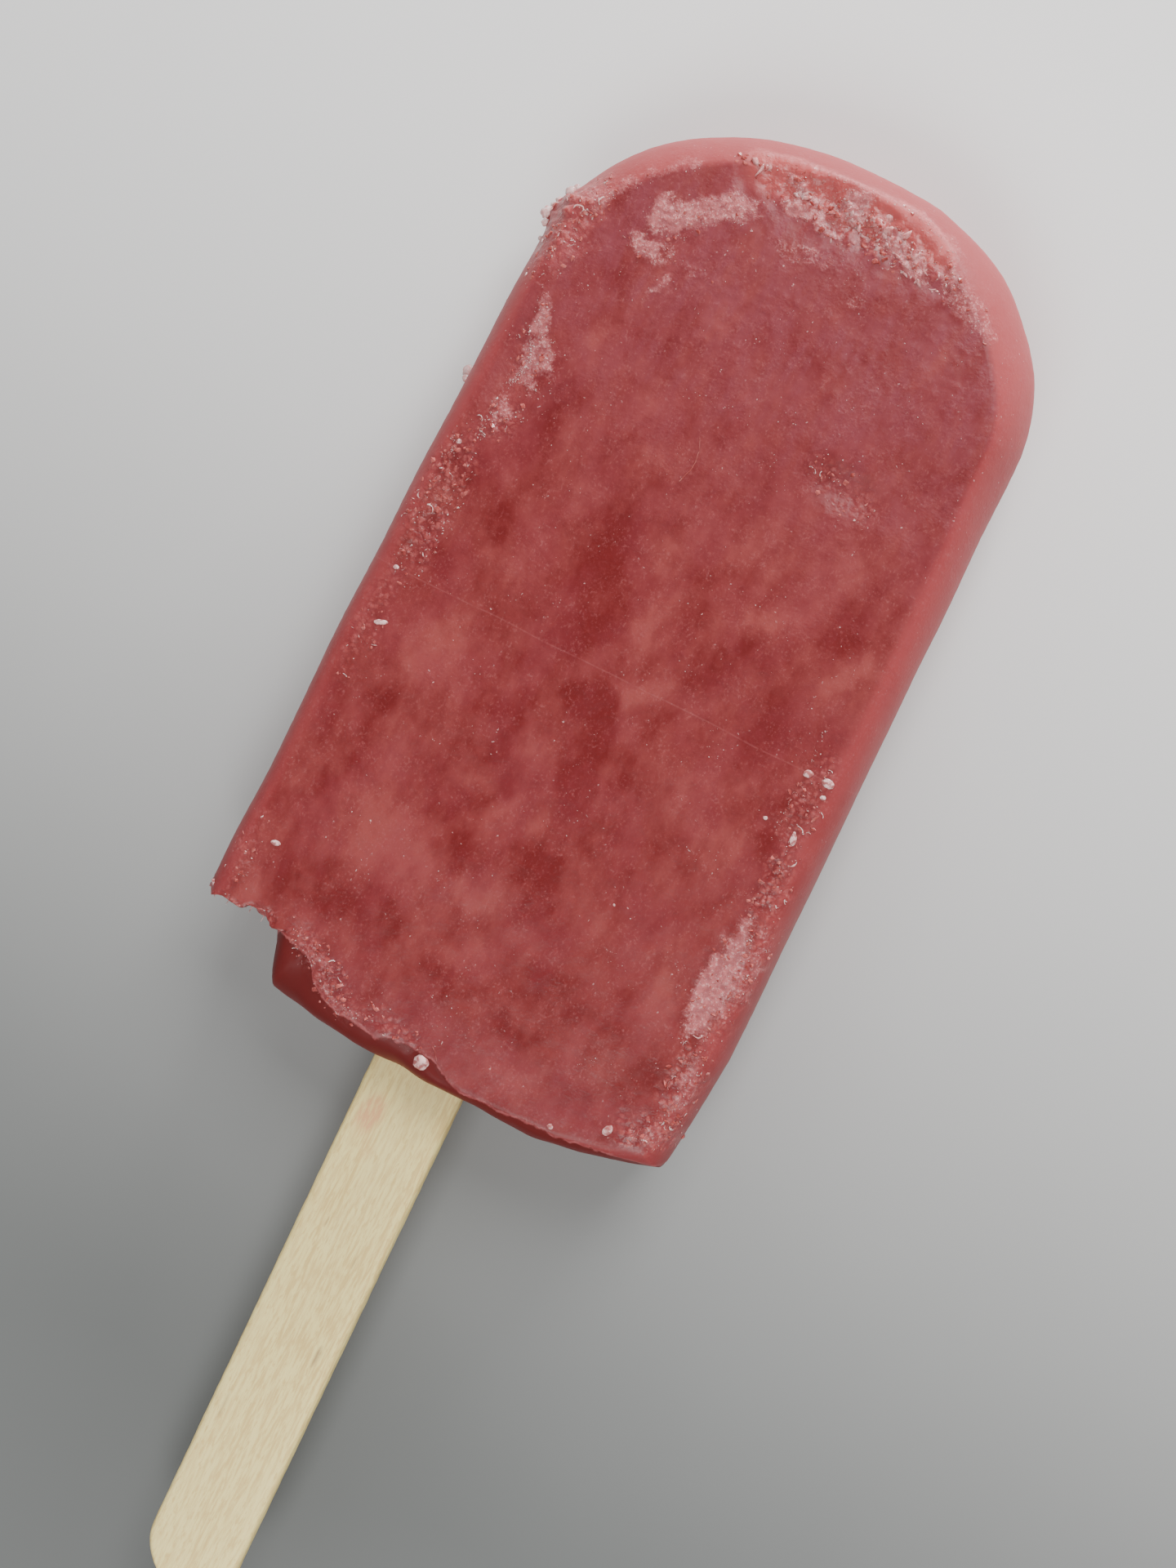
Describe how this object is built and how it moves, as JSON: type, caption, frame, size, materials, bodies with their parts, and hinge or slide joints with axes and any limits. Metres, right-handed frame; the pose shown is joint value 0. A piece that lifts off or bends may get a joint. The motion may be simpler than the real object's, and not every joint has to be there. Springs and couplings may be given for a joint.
{
  "type": "ice pop",
  "caption": "Round-tipped bar of frozen red fruit ice on a flat wooden stick, one corner broken off, lying on its flat back.",
  "frame": {"origin": "middle of the bar's flat back, half way along the bar", "axes": "+Y towards the round tip, the stick points to -Y; +Z out of the upper face; +X to the right seen from above with the tip up"},
  "size_m": [0.0533, 0.1554, 0.0165],
  "materials": {
    "fruit_ice": "frosty red fruit ice, mottled, with wet gloss and rime",
    "birch": "bare pale birch, unsealed"
  },
  "bodies": {
    "root": {"ice_bar": "fruit_ice", "stick": "birch"}
  },
  "joints": []
}
